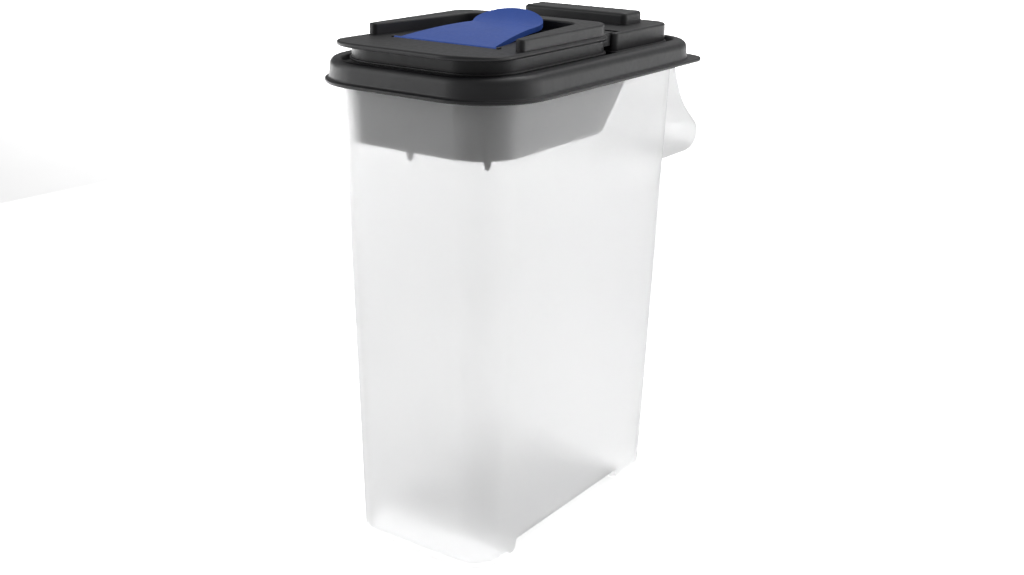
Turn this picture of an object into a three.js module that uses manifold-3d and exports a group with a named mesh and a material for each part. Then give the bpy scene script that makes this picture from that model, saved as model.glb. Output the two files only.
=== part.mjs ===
// Pet food bin: a tall translucent tub with a moulded rear grip, a lift-off lid that carries a bag collar,
// and a flip-up pour cap with a pull-up lever. Millimetres, +Z up, the pour side faces -Y.
import * as THREE from 'three';
import { mergeVertices } from 'three/addons/utils/BufferGeometryUtils.js';
import Module from 'manifold-3d';

const wasm = await Module();
wasm.setup();

// ---- driving dimensions -------------------------------------------------------------------------
// A plan is a rounded rectangle, given by its half width, its front and rear Y, and its corner radii.
// Plans are drawn with the tub's mouth centred on Y = 0; the finished assembly is shifted at the end.

const fit_gap = 0.3;          // clearance between pieces that touch
const corner_steps = 6;       // chords in each plan corner

const lid_line = 400;         // height of the lid flange's lower face
const tub = {
  wall: 2.3,
  rim_top: 408,
  rim_bead: 1.2,
  rim_bead_height: 5,
  foot_chamfer: 2,
  floor_round: 3,
  base: { half: 71.8, front: -142.9, rear: 135.3, front_radius: 28, rear_radius: 28 },
  mouth: { half: 84, front: -148.8, rear: 148.8, front_radius: 38, rear_radius: 38 },
};
const arch = { front: -95, rear: 75, height: 12.3, slant: 4, corner: 6 };
const grip = {
  half: 77,
  radius: 18,
  root: 118,
  root_radius: 2,
  wall: 2.9,
  // height and rearmost Y of the grip's outer face, from its underside up to the rim
  profile: [[309.5, 188], [310.6, 195], [314, 201], [319.5, 205], [326, 206.2], [332, 202.8],
    [342, 191], [349, 182.5], [357, 175], [366, 168.8], [378, 162.3], [390, 157], [397.5, 153.2],
    [399.6, 150]],
};

const lid_skin = 2.5;
const flange = {
  thickness: 3,
  plan: { half: 103.5, front: -161.8, rear: 157.5, front_radius: 58, rear_radius: 22 },
};
const skirt_plan = { half: 100, front: -158.4, rear: 154.8, front_radius: 54.5, rear_radius: 45 };
// height and inset of the lid's outer wall, from the flange over the rounded shoulder
const skirt_profile = [[403, 0], [411, 0.6], [415.5, 2], [418, 4.3], [419.3, 7.5], [419.6, 11]];
const deck_top = 414.5;
const deck_corner = { height: 4, reach: 1.4 };
const recess_plan = { half: 82.8, front: -152.5, rear: 143, front_radius: 42, rear_radius: 26 };
const throat_plan = { half: 66, front: -130, rear: 22, front_radius: 26, rear_radius: 24 };

const collar = {
  wall: 2.2,
  flange_width: 9,
  flange_thickness: 2.5,
  bottom: 352.8,
  top_plan: { half: 80.8, front: -146, rear: 110, front_radius: 38, rear_radius: 20 },
  bottom_plan: { half: 78.5, front: -142.5, rear: 110, front_radius: 36.4, rear_radius: 20 },
  // Y and height along its lower rear edge: a level edge, a rounded heel, then a slant up to the lid
  heel_start: [0, 350.8],
  heel_corner: [14, 354.8],
  heel_end: [26, 368],
  slant_middle: [45.5, 391],
  slant_top: 64,
};
const prong = { length: 6.5, width: 7, tip: 2.5, root: 1, thickness: 2 };

const cap = {
  skin: 2.5,
  bottom: 418.5,
  ledge_top: 420.3,
  ledge_width: 1.8,
  lip_bottom: 429.6,
  plate_top: 433.6,
  wall_top: 443,
  edge: 1.3,
  neck_plan: { half: 78.8, front: -143.5, rear: 28, front_radius: 38, rear_radius: 19 },
  plate_plan: { half: 81, front: -160, rear: 30, front_radius: 40, rear_radius: 20 },
  plug_plan: { half: 63, front: -126, rear: 19, front_radius: 23, rear_radius: 21 },
  plug_wall: 2.2,
  plug_bottom: 409,
  well_plan: { half: 43, front: -36, rear: 9.5, front_radius: 16, rear_radius: 20 },
  well_floor: 421.5,
  well_corner: 3,
  well_wall: 2.2,
};
// the raised wall on the cap is a U open to the front; its inner edge is half width and Y, front to rear,
// and runs along a curve, a straight and a second curve to the level back of the recess
const u_wall = {
  outer: 78,
  front: -101,
  rear: 29.5,
  rear_radius: 19,
  inner_front: 69.5,
  bend: [66, -75],
  straight_start: [62, -50],
  straight_end: [57.5, -14],
  corner: [54, 11],
  recess: [42, 12],
};
const seal = { thickness: 2.2, bottom: 410.5, top: 415 };

const hinge = {
  y: 45,
  z: 427.6,
  knuckle: 5.5,
  pin: 2,
  bore: 2.3,
  end_gap: 0.6,
  arm_centre: 63,
  arm_width: 14,
  arm_drop: 0.4,
};
// the lever tapers from its hinge to a waist and ends in a rounded tab that turns up
const lever = {
  hinge_y: -98,
  hinge_z: 433,
  barrel: 1.5,
  barrel_half: 51.6,
  groove: 1.8,
  pin: 0.7,
  bore: 0.95,
  thickness: 4.2,
  body_start: -97.4,
  hinge_half: 47.9,
  waist_half: 32.5,
  waist_y: -20,
  waist_z: 440.2,
  tab_half: 34.4,
  tab_y: -12.3,
  tab_reach: 14,
  front_drop: 6.6,
  front_curve: 1.74,
  tab_rise: 11.4,
  tab_curve: 1.64,
  rows: 28,
};
const lug = { inner: 51.9, outer: 54.4, depth: 4.4, top: 435 };
// the shallow pocket that the lever's side walls drop into
const pocket = { gap: 1.2, floor: 428.9, rear: -30, wall: 2, front: -101.5 };

const block = {
  skin: 2.5,
  top: 433,
  ledge_height: 3,
  ledge_width: 1.2,
  edge: 1.5,
  plan: { half: 75, front: 39, rear: 137, front_radius: 5, rear_radius: 18 },
  notch_gap: 0.6,
  notch_rear: 53.4,
  notch_floor: 421.3,
  notch_wall: 2.5,
};
const bar = {
  plan: { half: 54.5, front: 88, rear: 119, front_radius: 4, rear_radius: 4 },
  top: 443.4,
  skin: 2.5,
  // depth below the top and inset of the bar's rounded edge
  edge: [[2.4, 0.4], [0.6, 1.4], [0, 3.2]],
};

// ---- materials ----------------------------------------------------------------------------------

const finish = (color, roughness, extra = {}) =>
  new THREE.MeshStandardMaterial({ color, roughness, metalness: 0, ...extra });
const clear_tub = finish(0xeef0f1, 0.35, { transparent: true, opacity: 0.5 });
const black_plastic = finish(0x1b1c1e, 0.5);
const blue_plastic = finish(0x2746b0, 0.4);
const grey_seal = finish(0x8d9094, 0.8);
const steel_pin = new THREE.MeshStandardMaterial({ color: 0xb9bcc0, roughness: 0.3, metalness: 1 });

// ---- plans and solids ---------------------------------------------------------------------------

const between = (a, b, t) => a + (b - a) * t;

function grow(plan, amount) {
  return {
    half: plan.half + amount,
    front: plan.front - amount,
    rear: plan.rear + amount,
    front_radius: Math.max(plan.front_radius + amount, 0.5),
    rear_radius: Math.max(plan.rear_radius + amount, 0.5),
  };
}

function blend_plans(a, b, t) {
  return Object.fromEntries(Object.keys(a).map((key) => [key, between(a[key], b[key], t)]));
}

// the tub's outer plan at a height; the walls taper evenly from the mouth to the base
const tub_plan = (z) => blend_plans(tub.base, tub.mouth, z / lid_line);

// corner points of a plan, counter-clockwise from above
function plan_points(plan) {
  const corners = [
    [plan.half - plan.front_radius, plan.front + plan.front_radius, plan.front_radius, -90],
    [plan.half - plan.rear_radius, plan.rear - plan.rear_radius, plan.rear_radius, 0],
    [plan.rear_radius - plan.half, plan.rear - plan.rear_radius, plan.rear_radius, 90],
    [plan.front_radius - plan.half, plan.front + plan.front_radius, plan.front_radius, 180],
  ];
  const points = [];
  for (const [x, y, radius, start] of corners) {
    for (let step = 0; step <= corner_steps; step += 1) {
      const angle = THREE.MathUtils.degToRad(start + (90 * step) / corner_steps);
      points.push(new THREE.Vector2(x + radius * Math.cos(angle), y + radius * Math.sin(angle)));
    }
  }
  return points;
}

function solid_of(geometry) {
  const bare = geometry.clone();
  bare.deleteAttribute('normal');
  bare.deleteAttribute('uv');
  const merged = mergeVertices(bare, 1e-4);
  const mesh = new wasm.Mesh({
    numProp: 3,
    vertProperties: new Float32Array(merged.attributes.position.array),
    triVerts: new Uint32Array(merged.index.array),
  });
  return new wasm.Manifold(mesh);
}

function geometry_of(solid) {
  const mesh = solid.getMesh();
  const geometry = new THREE.BufferGeometry();
  geometry.setAttribute('position', new THREE.BufferAttribute(mesh.vertProperties, 3));
  geometry.setIndex(new THREE.BufferAttribute(mesh.triVerts, 1));
  geometry.computeVertexNormals();
  return geometry;
}

// a solid through level sections, each a height and its plan
function loft(sections) {
  const rings = sections.map(([z, plan]) => plan_points(plan).map((p) => [p.x, p.y, z]));
  const count = rings[0].length;
  const index = [];
  for (let level = 0; level < rings.length - 1; level += 1) {
    for (let i = 0; i < count; i += 1) {
      const next = (i + 1) % count;
      const low = level * count;
      const high = low + count;
      index.push(low + i, low + next, high + next, low + i, high + next, high + i);
    }
  }
  const top = (rings.length - 1) * count;
  const faces = THREE.ShapeUtils.triangulateShape(plan_points(sections[0][1]), []);
  const top_faces = THREE.ShapeUtils.triangulateShape(plan_points(sections.at(-1)[1]), []);
  faces.forEach(([a, b, c]) => index.push(c, b, a));
  top_faces.forEach(([a, b, c]) => index.push(top + a, top + b, top + c));
  const geometry = new THREE.BufferGeometry();
  geometry.setAttribute('position', new THREE.Float32BufferAttribute(rings.flat(2), 3));
  geometry.setIndex(index);
  return solid_of(geometry);
}

const prism = (plan, low, high) => loft([[low, plan], [high, plan]]);

// a wall around a plan
function ring(outer, width, low, high) {
  return prism(outer, low, high).subtract(prism(grow(outer, -width), low - 1, high + 1));
}

function box(x_low, x_high, y_low, y_high, z_low, z_high) {
  const geometry = new THREE.BoxGeometry(x_high - x_low, y_high - y_low, z_high - z_low);
  geometry.translate((x_low + x_high) / 2, (y_low + y_high) / 2, (z_low + z_high) / 2);
  return solid_of(geometry);
}

// a rod along X through a point of the YZ plane
function rod(radius, x_low, x_high, y, z, sides = 16) {
  const geometry = new THREE.CylinderGeometry(radius, radius, x_high - x_low, sides);
  geometry.rotateZ(Math.PI / 2);
  geometry.translate((x_low + x_high) / 2, y, z);
  return solid_of(geometry);
}

// a shape drawn in Y and Z, extruded along X
function across(shape, half_length, curve_steps = 6) {
  const geometry = new THREE.ExtrudeGeometry(shape, {
    depth: 2 * half_length, bevelEnabled: false, curveSegments: curve_steps,
  });
  geometry.translate(0, 0, -half_length);
  const axes = new THREE.Matrix4().makeBasis(
    new THREE.Vector3(0, 1, 0), new THREE.Vector3(0, 0, 1), new THREE.Vector3(1, 0, 0));
  geometry.applyMatrix4(axes);
  return solid_of(geometry);
}

// a shape drawn in X and Y, extruded upwards
function upright(shape, low, high, curve_steps = 6) {
  const geometry = new THREE.ExtrudeGeometry(shape, {
    depth: high - low, bevelEnabled: false, curveSegments: curve_steps,
  });
  geometry.translate(0, 0, low);
  return solid_of(geometry);
}

// ---- the tub ------------------------------------------------------------------------------------

// the passage under the tub between its front and rear feet
function arch_solid(extra) {
  const top = arch.height + extra;
  const front = arch.front - extra;
  const rear = arch.rear + extra;
  const shape = new THREE.Shape();
  shape.moveTo(front, -1);
  shape.lineTo(rear, -1);
  shape.lineTo(rear - arch.slant, top - arch.corner);
  shape.quadraticCurveTo(rear - arch.slant - 1, top, rear - arch.slant - arch.corner, top);
  shape.lineTo(front + arch.slant + arch.corner, top);
  shape.quadraticCurveTo(front + arch.slant + 1, top, front + arch.slant, top - arch.corner);
  shape.closePath();
  return across(shape, tub.mouth.half + 10, 4);
}

// the grip bulging from the tub's rear wall; an inset gives the space inside it
function grip_solid(inset) {
  const low = grip.profile[0][0] + inset;
  const sections = grip.profile
    .filter(([z]) => z >= low)
    .map(([z, rear]) => [z, {
      half: grip.half - inset,
      front: grip.root,
      rear: rear - inset,
      front_radius: grip.root_radius,
      rear_radius: grip.radius - inset,
    }]);
  return loft(sections);
}

function make_bin() {
  const rim_low = tub.rim_top - tub.rim_bead_height;
  const outer = loft([
    [0, grow(tub_plan(0), -tub.foot_chamfer)],
    [tub.foot_chamfer, tub_plan(tub.foot_chamfer)],
    [rim_low, tub_plan(rim_low)],
    [rim_low + tub.rim_bead, grow(tub_plan(rim_low), tub.rim_bead)],
    [tub.rim_top, grow(tub_plan(tub.rim_top), tub.rim_bead)],
  ]);
  const inner = loft([
    [tub.wall, grow(tub_plan(tub.wall), -tub.wall - tub.floor_round)],
    [tub.wall + tub.floor_round, grow(tub_plan(tub.wall + tub.floor_round), -tub.wall)],
    [tub.rim_top + 1, grow(tub_plan(tub.rim_top + 1), -tub.wall)],
  ]);
  const arch_roof = arch_solid(tub.wall).intersect(outer);
  return outer
    .add(grip_solid(0))
    .subtract(inner.add(grip_solid(grip.wall)))
    .add(arch_roof)
    .subtract(arch_solid(0));
}

// ---- the lid and what it carries ----------------------------------------------------------------

function make_lid() {
  const deck_underside = deck_top - lid_skin;
  const flange_top = lid_line + flange.thickness;
  const rim_high = skirt_profile.at(-1)[0];
  const plate = prism(flange.plan, lid_line, flange_top);
  const wall = loft(skirt_profile.map(([z, inset]) => [z, grow(skirt_plan, -inset)]));
  const hollow = loft([
    [lid_line - 1, grow(skirt_plan, -lid_skin)],
    [deck_underside - deck_corner.height, grow(skirt_plan, -lid_skin - deck_corner.reach / 2)],
    [deck_underside, grow(skirt_plan, -lid_skin - deck_corner.reach)],
  ]);
  const recess = loft([[deck_top, recess_plan], [rim_high + 1, grow(recess_plan, 1)]]);
  return plate.add(wall)
    .subtract(hollow)
    .subtract(recess)
    .subtract(prism(throat_plan, deck_underside - 5, deck_top + 5));
}

function make_lid_seal() {
  const rim = grow(tub_plan(tub.rim_top), tub.rim_bead);
  return ring(rim, tub.wall + tub.rim_bead, tub.rim_top + fit_gap, deck_top - lid_skin - fit_gap);
}

// one pointed tooth under the collar's edge, turned to follow the wall
function collar_prong(x, y, turn) {
  const shape = new THREE.Shape();
  shape.moveTo(-prong.width / 2, prong.root);
  shape.lineTo(-prong.tip / 2, -prong.length);
  shape.lineTo(prong.tip / 2, -prong.length);
  shape.lineTo(prong.width / 2, prong.root);
  shape.closePath();
  const geometry = new THREE.ExtrudeGeometry(shape, { depth: prong.thickness, bevelEnabled: false });
  geometry.translate(0, 0, -prong.thickness / 2);
  geometry.rotateX(Math.PI / 2);
  geometry.rotateZ(turn);
  geometry.translate(x, y, collar.bottom);
  return solid_of(geometry);
}

function make_bag_collar() {
  const top = deck_top - lid_skin - fit_gap;
  const { wall, top_plan, bottom_plan } = collar;
  const shell = loft([[collar.bottom, bottom_plan], [top, top_plan]]).subtract(loft([
    [collar.bottom - 1, grow(bottom_plan, -wall)],
    [top + 1, grow(top_plan, -wall)],
  ]));
  const flat = ring(top_plan, collar.flange_width, top - collar.flange_thickness, top);
  const side = new THREE.Shape();
  side.moveTo(flange.plan.front, collar.heel_start[1]);
  side.lineTo(...collar.heel_start);
  side.quadraticCurveTo(...collar.heel_corner, ...collar.heel_end);
  side.lineTo(...collar.slant_middle);
  side.lineTo(collar.slant_top, top + 1);
  side.lineTo(flange.plan.front, top + 1);
  side.closePath();
  let solid = shell.add(flat).intersect(across(side, flange.plan.half));
  const middle = wall / 2;
  const corner_x = bottom_plan.half - bottom_plan.front_radius;
  const corner_y = bottom_plan.front + bottom_plan.front_radius;
  const reach = (bottom_plan.front_radius - middle) * Math.SQRT1_2;
  solid = solid.add(collar_prong(0, bottom_plan.front + middle, 0));
  for (const side_sign of [-1, 1]) {
    const turn = side_sign * Math.PI / 4;
    solid = solid.add(collar_prong(side_sign * (corner_x + reach), corner_y - reach, turn));
  }
  return solid;
}

function make_rear_block() {
  const base = deck_top + fit_gap;
  const hollow_top = block.top - block.skin;
  const notch_half = hinge.arm_width / 2 + block.notch_gap;
  const socket_half = notch_half + block.notch_wall;
  let solid = prism(grow(block.plan, block.ledge_width), base, base + block.ledge_height)
    .add(loft([
      [base, block.plan],
      [block.top - block.edge, block.plan],
      [block.top, grow(block.plan, -block.edge)],
    ]))
    .add(loft([
      [hollow_top, bar.plan],
      ...bar.edge.map(([depth, inset]) => [bar.top - depth, grow(bar.plan, -inset)]),
    ]));
  let hollow = prism(grow(block.plan, -block.skin), base - 1, hollow_top)
    .add(prism(grow(bar.plan, -bar.skin), hollow_top - 1, bar.top - bar.skin));
  for (const side_sign of [-1, 1]) {
    const x = side_sign * hinge.arm_centre;
    hollow = hollow.subtract(box(x - socket_half, x + socket_half,
      block.plan.front, block.notch_rear + block.notch_wall, base - 1, block.top));
  }
  solid = solid.subtract(hollow);
  for (const side_sign of [-1, 1]) {
    const x = side_sign * hinge.arm_centre;
    solid = solid
      .subtract(box(x - notch_half, x + notch_half,
        block.plan.front - 2, block.notch_rear, block.notch_floor, block.top + 1))
      .subtract(rod(hinge.bore, x - socket_half - 0.2, x + socket_half - 0.2, hinge.y, hinge.z));
  }
  return solid;
}

function make_hinge_pin(side_sign) {
  const reach = hinge.arm_width / 2 + block.notch_gap + block.notch_wall - hinge.end_gap;
  const x = side_sign * hinge.arm_centre;
  return rod(hinge.pin, x - reach, x + reach, hinge.y, hinge.z, 12);
}

// ---- the pour cap, its seal and its lever -------------------------------------------------------

// the raised U on the cap, with the recess that takes the lever; inset shrinks it for the hollow below
function u_shape(inset) {
  const outer = u_wall.outer - inset;
  const front = u_wall.front + inset;
  const rear = u_wall.rear - inset;
  const round = u_wall.rear_radius - inset;
  const right = ([half, y]) => [half + inset, y];
  const left = ([half, y]) => [-half - inset, y];
  const recess = u_wall.recess[1] + inset;
  const shape = new THREE.Shape();
  shape.moveTo(outer, front);
  shape.lineTo(outer, rear - round);
  shape.absarc(outer - round, rear - round, round, 0, Math.PI / 2, false);
  shape.lineTo(round - outer, rear);
  shape.absarc(round - outer, rear - round, round, Math.PI / 2, Math.PI, false);
  shape.lineTo(-outer, front);
  shape.lineTo(-u_wall.inner_front - inset, front);
  shape.quadraticCurveTo(...left(u_wall.bend), ...left(u_wall.straight_start));
  shape.lineTo(...left(u_wall.straight_end));
  shape.quadraticCurveTo(...left(u_wall.corner), -u_wall.recess[0], recess);
  shape.lineTo(u_wall.recess[0], recess);
  shape.quadraticCurveTo(...right(u_wall.corner), ...right(u_wall.straight_end));
  shape.lineTo(...right(u_wall.straight_start));
  shape.quadraticCurveTo(...right(u_wall.bend), u_wall.inner_front + inset, front);
  shape.closePath();
  return shape;
}

function cap_arm(x) {
  const half = hinge.arm_width / 2;
  const top = cap.plate_top - hinge.arm_drop;
  const low = hinge.z - hinge.knuckle + hinge.arm_drop;
  return box(x - half, x + half, cap.neck_plan.rear - 1, hinge.y, low, top)
    .add(rod(hinge.knuckle, x - half, x + half, hinge.y, hinge.z, 20))
    .subtract(rod(hinge.bore, x - half - 1, x + half + 1, hinge.y, hinge.z));
}

function lever_lug(side_sign) {
  const ends = [side_sign * lug.inner, side_sign * lug.outer];
  const low = Math.min(...ends);
  const high = Math.max(...ends);
  return box(low, high, lever.hinge_y - lug.depth / 2, lever.hinge_y + lug.depth / 2,
    cap.plate_top - 1, lug.top);
}

// the pocket's outline, with its sides moved out by extra
function pocket_shape(front, extra) {
  const front_half = lever_half_width(lever.hinge_y) + pocket.gap + extra;
  const rear_half = lever_half_width(pocket.rear) + pocket.gap + extra;
  const shape = new THREE.Shape();
  shape.moveTo(-front_half, front);
  shape.lineTo(front_half, front);
  shape.lineTo(rear_half, pocket.rear);
  shape.lineTo(-rear_half, pocket.rear);
  shape.closePath();
  return shape;
}

function make_pour_cap() {
  const underside = cap.plate_top - cap.skin;
  const neck = prism(cap.neck_plan, cap.bottom, cap.lip_bottom + 1)
    .add(loft([
      [cap.bottom, grow(cap.neck_plan, cap.ledge_width)],
      [cap.ledge_top, grow(cap.neck_plan, cap.ledge_width / 2)],
    ]));
  const plate = loft([
    [cap.lip_bottom, grow(cap.plate_plan, -cap.edge)],
    [cap.lip_bottom + cap.edge, cap.plate_plan],
    [cap.plate_top - cap.edge, cap.plate_plan],
    [cap.plate_top, grow(cap.plate_plan, -cap.edge)],
  ]);
  const well = grow(cap.well_plan, cap.well_wall);
  const plug = ring(cap.plug_plan, cap.plug_wall, cap.plug_bottom, cap.plate_top - 1);
  const neck_hollow = prism(grow(cap.neck_plan, -cap.skin), cap.bottom - 1, underside);
  let solid = neck.add(plate)
    .add(upright(u_shape(0), cap.plate_top - 1, cap.wall_top))
    .subtract(neck_hollow)
    .subtract(upright(u_shape(cap.skin), underside - 1, cap.wall_top - cap.skin))
    .add(plug)
    .add(prism(well, cap.well_floor - cap.well_wall, cap.plate_top - 1))
    .add(upright(pocket_shape(pocket.front, pocket.wall), pocket.floor - pocket.wall, cap.plate_top - 1))
    .subtract(upright(pocket_shape(lever.hinge_y, 0), pocket.floor, cap.plate_top + 1))
    .subtract(loft([
      [cap.well_floor, grow(cap.well_plan, -cap.well_corner)],
      [cap.well_floor + cap.well_corner, cap.well_plan],
      [cap.plate_top + 1, cap.well_plan],
    ]));
  for (const side_sign of [-1, 1]) {
    solid = solid.add(cap_arm(side_sign * hinge.arm_centre)).add(lever_lug(side_sign));
  }
  const bore_half = lug.outer + fit_gap;
  return solid
    .subtract(rod(lever.groove, -lug.inner, lug.inner, lever.hinge_y, lever.hinge_z, 14))
    .subtract(rod(lever.bore, -bore_half, bore_half, lever.hinge_y, lever.hinge_z, 12));
}

function make_pour_seal() {
  const outer = grow(cap.plug_plan, fit_gap + seal.thickness);
  return ring(outer, seal.thickness, seal.bottom, seal.top);
}

const lever_end = lever.tab_y + lever.tab_reach;

function lever_half_width(y) {
  if (y > lever.tab_y) {
    const reach = Math.min((y - lever.tab_y) / lever.tab_reach, 1);
    return lever.tab_half * Math.sqrt(1 - reach * reach);
  }
  if (y > lever.waist_y) {
    const t = THREE.MathUtils.smoothstep(y, lever.waist_y, lever.tab_y);
    return between(lever.waist_half, lever.tab_half, t);
  }
  const along = (y - lever.hinge_y) / (lever.waist_y - lever.hinge_y);
  return between(lever.hinge_half, lever.waist_half, along);
}

function lever_top(y) {
  if (y > lever.waist_y) {
    const along = (y - lever.waist_y) / (lever_end - lever.waist_y);
    return lever.waist_z + lever.tab_rise * along ** lever.tab_curve;
  }
  const back = (lever.waist_y - y) / (lever.waist_y - lever.hinge_y);
  return lever.waist_z - lever.front_drop * back ** lever.front_curve;
}

function make_lever() {
  const positions = [];
  const index = [];
  for (let row = 0; row <= lever.rows; row += 1) {
    const y = between(lever.body_start, lever_end, Math.sin((row / lever.rows) * Math.PI / 2));
    const half = Math.max(lever_half_width(y), 1);
    const top = lever_top(y);
    const low = top - lever.thickness;
    positions.push(half, y, low, half, y, top, -half, y, top, -half, y, low);
  }
  for (let row = 0; row < lever.rows; row += 1) {
    for (let side = 0; side < 4; side += 1) {
      const a = row * 4 + side;
      const b = row * 4 + ((side + 1) % 4);
      index.push(a, a + 4, b + 4, a, b + 4, b);
    }
  }
  const last = lever.rows * 4;
  index.push(0, 1, 2, 0, 2, 3);
  index.push(last + 2, last + 1, last, last + 3, last + 2, last);
  const geometry = new THREE.BufferGeometry();
  geometry.setAttribute('position', new THREE.Float32BufferAttribute(positions, 3));
  geometry.setIndex(index);
  return solid_of(geometry)
    .add(rod(lever.barrel, -lever.barrel_half, lever.barrel_half, lever.hinge_y, lever.hinge_z, 14))
    .subtract(rod(lever.bore, -lug.outer, lug.outer, lever.hinge_y, lever.hinge_z, 12));
}

function make_lever_pin() {
  return rod(lever.pin, -lug.outer + fit_gap, lug.outer - fit_gap, lever.hinge_y, lever.hinge_z, 10);
}

// ---- the assembly -------------------------------------------------------------------------------

const front_most = flange.plan.front;
const rear_most = Math.max(...grip.profile.map(([, rear]) => rear));

function piece(name, solid, material) {
  const mesh = new THREE.Mesh(geometry_of(solid), material);
  mesh.name = name;
  return mesh;
}

const pet_food_bin = new THREE.Group();
pet_food_bin.add(
  piece('bin', make_bin(), clear_tub),
  piece('lid', make_lid(), black_plastic),
  piece('lid_seal', make_lid_seal(), grey_seal),
  piece('bag_collar', make_bag_collar(), black_plastic),
  piece('rear_block', make_rear_block(), black_plastic),
  piece('hinge_pin_left', make_hinge_pin(-1), steel_pin),
  piece('hinge_pin_right', make_hinge_pin(1), steel_pin),
  piece('pour_cap', make_pour_cap(), black_plastic),
  piece('pour_seal', make_pour_seal(), grey_seal),
  piece('lever', make_lever(), blue_plastic),
  piece('lever_pin', make_lever_pin(), steel_pin),
);
pet_food_bin.position.y = -(front_most + rear_most) / 2;

export default pet_food_bin;
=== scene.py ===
"""A pet food bin in a plain studio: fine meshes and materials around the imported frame.

Shapes are worked out in millimetres in the tub's own coordinates: X across, Y from the pour side to the
grip with 0 at the middle of the tub's mouth, Z up from the floor. place() turns them into the frame's
metres. Outer sizes come from the frame's boxes; radii and wall thicknesses are named below.
"""

import math
from collections import namedtuple

import bmesh
import bpy
from mathutils import Matrix, Vector


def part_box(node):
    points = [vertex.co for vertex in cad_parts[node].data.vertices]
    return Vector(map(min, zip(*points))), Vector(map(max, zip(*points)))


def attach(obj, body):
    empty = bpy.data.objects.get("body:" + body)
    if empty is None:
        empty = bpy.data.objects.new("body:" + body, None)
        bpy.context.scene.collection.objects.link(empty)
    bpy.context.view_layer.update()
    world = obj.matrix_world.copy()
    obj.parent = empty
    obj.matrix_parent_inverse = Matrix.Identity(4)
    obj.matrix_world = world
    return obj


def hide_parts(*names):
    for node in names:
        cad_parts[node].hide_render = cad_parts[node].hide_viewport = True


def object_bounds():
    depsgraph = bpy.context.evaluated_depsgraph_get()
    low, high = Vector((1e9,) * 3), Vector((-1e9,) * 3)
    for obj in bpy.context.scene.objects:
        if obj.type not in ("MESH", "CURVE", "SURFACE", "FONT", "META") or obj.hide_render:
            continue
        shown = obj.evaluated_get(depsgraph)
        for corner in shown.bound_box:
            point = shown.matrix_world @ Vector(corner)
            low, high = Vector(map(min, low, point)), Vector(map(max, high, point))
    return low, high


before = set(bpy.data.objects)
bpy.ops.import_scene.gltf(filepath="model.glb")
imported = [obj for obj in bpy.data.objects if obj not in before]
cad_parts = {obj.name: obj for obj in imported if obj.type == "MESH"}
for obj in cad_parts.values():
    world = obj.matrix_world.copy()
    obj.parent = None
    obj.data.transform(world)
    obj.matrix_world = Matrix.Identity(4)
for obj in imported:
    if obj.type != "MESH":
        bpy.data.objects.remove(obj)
cad_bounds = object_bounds()

MM = 0.001

# ---- sizes --------------------------------------------------------------------------------------

Plan = namedtuple("Plan", "half front rear front_radius rear_radius")
Extent = namedtuple("Extent", "half front rear low high")

FLANGE_FRONT = -161.8            # the lid's front edge, measured from the middle of the tub's mouth
MOUTH_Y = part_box("lid")[0].y / MM - FLANGE_FRONT


def extent(node):
    """A CAD node's box in millimetres, in the tub's own coordinates."""
    low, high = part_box(node)
    return Extent(high.x / MM, low.y / MM - MOUTH_Y, high.y / MM - MOUTH_Y, low.z / MM, high.z / MM)


BIN = extent("bin")
LID = extent("lid")
COLLAR = extent("bag_collar")
BLOCK = extent("rear_block")
CAP = extent("pour_cap")
LEVER = extent("lever")
LID_SEAL = extent("lid_seal")
POUR_SEAL = extent("pour_seal")
HINGE_PIN = extent("hinge_pin_right")
LEVER_PIN = extent("lever_pin")

CORNER_STEPS = 14
ROUND_STEPS = 5
SHARP = 0.01                     # the radius of a corner left sharp
OVERRUN = 1                      # how far a cutting or joining solid reaches past a face

# the tub
TUB_WALL = 2.3
TUB_STEP = 20                    # the height between the tub's outlines
TUB_FLOOR_ROUND = 4
TUB_BASE = Plan(71.8, -142.9, 135.3, 28, 28)
TUB_MOUTH = Plan(84, -148.8, 148.8, 38, 38)
MOUTH_HEIGHT = LID.low
FOOT_ROUND = 3.2
RIM_BEAD = 1.2
RIM_BEAD_HEIGHT = 5
RIM_ROUND = 0.8
ARCH_FRONT = -95
ARCH_REAR = 75
ARCH_HEIGHT = 12.3
GRIP_HALF = 77
GRIP_ROOT = 118
GRIP_RADIUS = 18
GRIP_WALL = 2.6
# height and rearmost Y of the grip's outer face
GRIP_PROFILE = (
    (309.5, 187), (310.3, 193), (312.5, 199.2), (317, 203.9), (322, 206), (327, 205.8), (332, 202.9),
    (337, 197.4), (342, 191), (349, 182.5), (357, 175), (366, 168.8), (378, 162.3), (390, 156.8),
    (397, 153.2), (399.7, 150),
)

# the lid
LID_SKIN = 2.5
FLANGE_THICKNESS = 3
FLANGE = Plan(LID.half, LID.front, LID.rear, 58, 22)
SKIRT = Plan(100, -158.4, 154.8, 54.5, 45)
RECESS = Plan(82.8, -152.5, 143, 42, 26)
THROAT = Plan(66, -130, 22, 26, 24)
DECK_TOP = 414.5
SHOULDER_RADIUS = 6.5

# the bag collar
COLLAR_WALL = 2.2
COLLAR_FLANGE = 9
COLLAR_FLANGE_THICKNESS = 2.5
COLLAR_TOP = Plan(COLLAR.half, COLLAR.front, 110, 38, 20)
COLLAR_BOTTOM = Plan(78.5, -142.5, 110, 36.4, 20)
PRONG_LENGTH = 6.5
COLLAR_LOW = COLLAR.low + PRONG_LENGTH

# the block behind the cap
BLOCK_SKIN = 2.5
BLOCK_TOP = 433
BLOCK_LEDGE = 1.2
BLOCK_LEDGE_HEIGHT = 3
BLOCK_PLAN = Plan(75, 39, 137, 5, 18)
BAR_PLAN = Plan(54.5, 88, 119, 5, 5)
NOTCH_GAP = 0.6
NOTCH_REAR = 53.4
NOTCH_FLOOR = 421.3

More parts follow.
